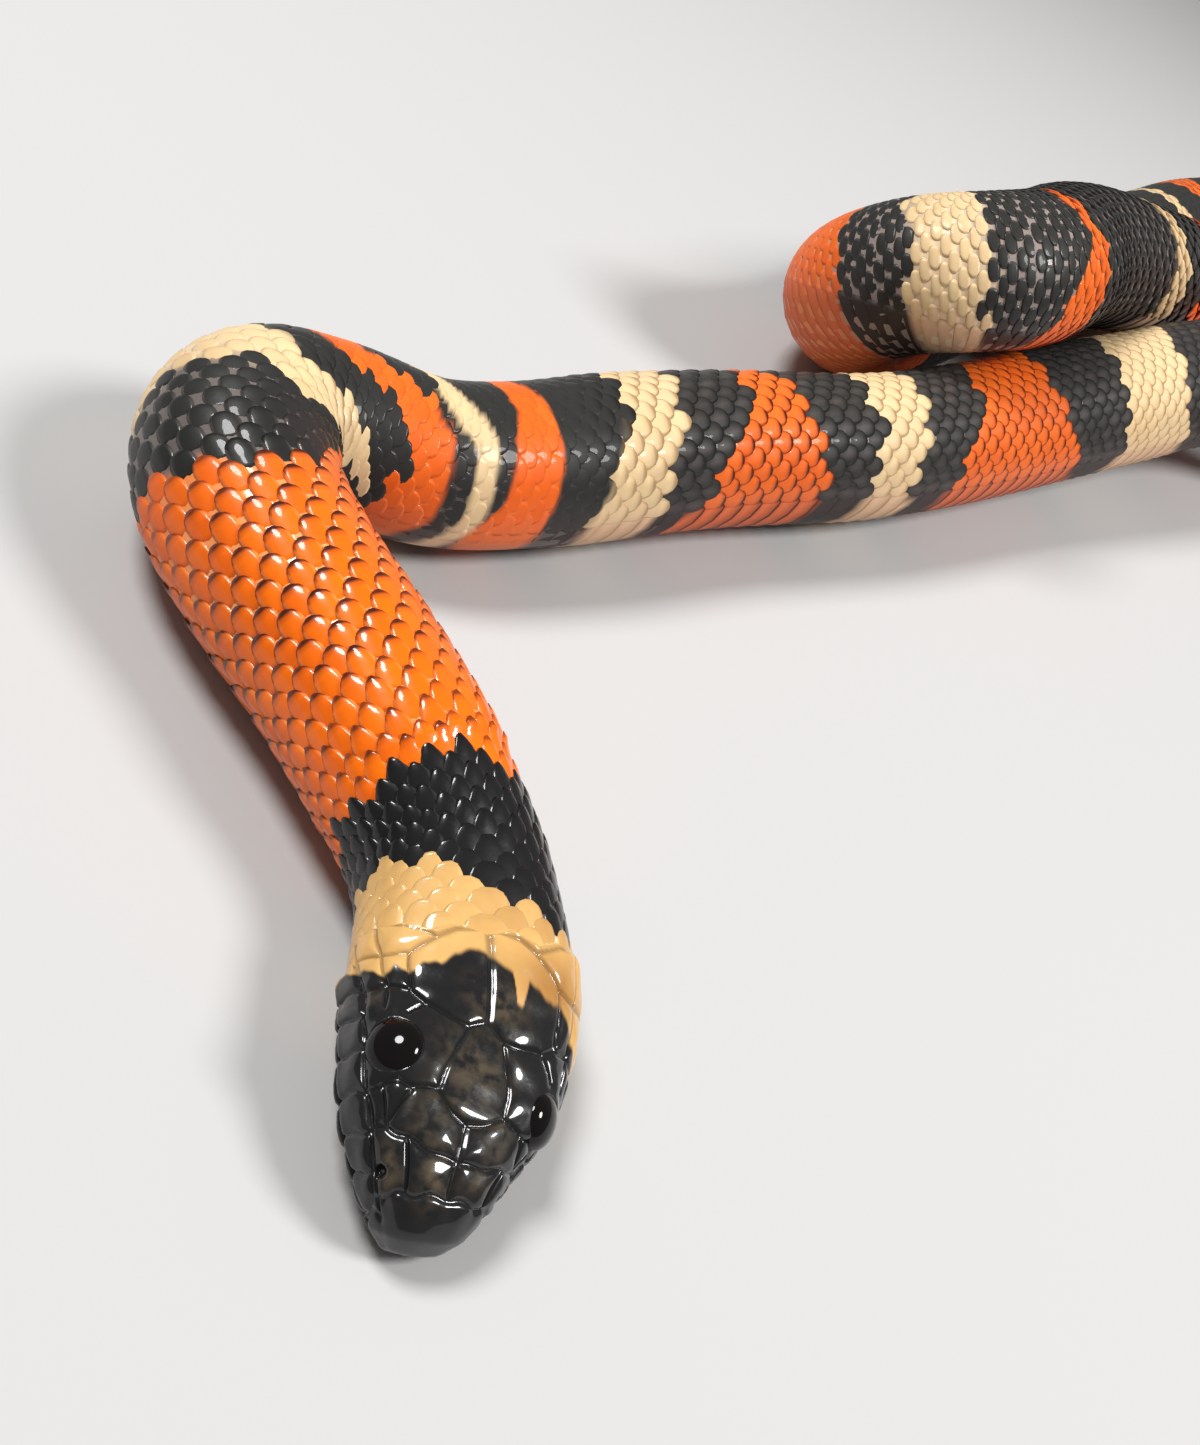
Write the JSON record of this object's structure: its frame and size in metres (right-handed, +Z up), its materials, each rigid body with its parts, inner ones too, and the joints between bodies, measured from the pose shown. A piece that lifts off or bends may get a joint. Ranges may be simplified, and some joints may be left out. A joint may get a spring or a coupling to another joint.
{
  "type": "milk snake",
  "caption": "Still, life-size milk snake lying in folded loops, ringed orange-red, black and cream, with shielded head, eyes and tapered tail",
  "frame": {"origin": "middle of the bounding box's underside, on the floor that the belly rests on", "axes": "+Z up; the loops lie in the X-Y plane, longest along Y; the head is at the -Y end and faces -Y, the folded loops are at +Y"},
  "size_m": [0.2182, 0.3868, 0.0416],
  "materials": {
    "head_shields": "glossy black horn shields over firm flesh, mottled brown on the crown",
    "banded_scales": "smooth overlapping scales ringed orange-red, black and cream, with a satin gloss",
    "eye_spectacle": "polished clear scale over a dark brown eye"
  },
  "bodies": {
    "root": {"head": "head_shields", "eye_right": "eye_spectacle", "eye_left": "eye_spectacle", "neck": "banded_scales", "body_01": "banded_scales", "body_02": "banded_scales", "body_03": "banded_scales", "body_04": "banded_scales", "body_05": "banded_scales", "body_06": "banded_scales", "body_07": "banded_scales", "body_08": "banded_scales", "body_09": "banded_scales", "body_10": "banded_scales", "body_11": "banded_scales", "body_12": "banded_scales", "body_13": "banded_scales", "body_14": "banded_scales", "tail_1": "banded_scales", "tail_2": "banded_scales", "tail_3": "banded_scales"}
  },
  "joints": []
}
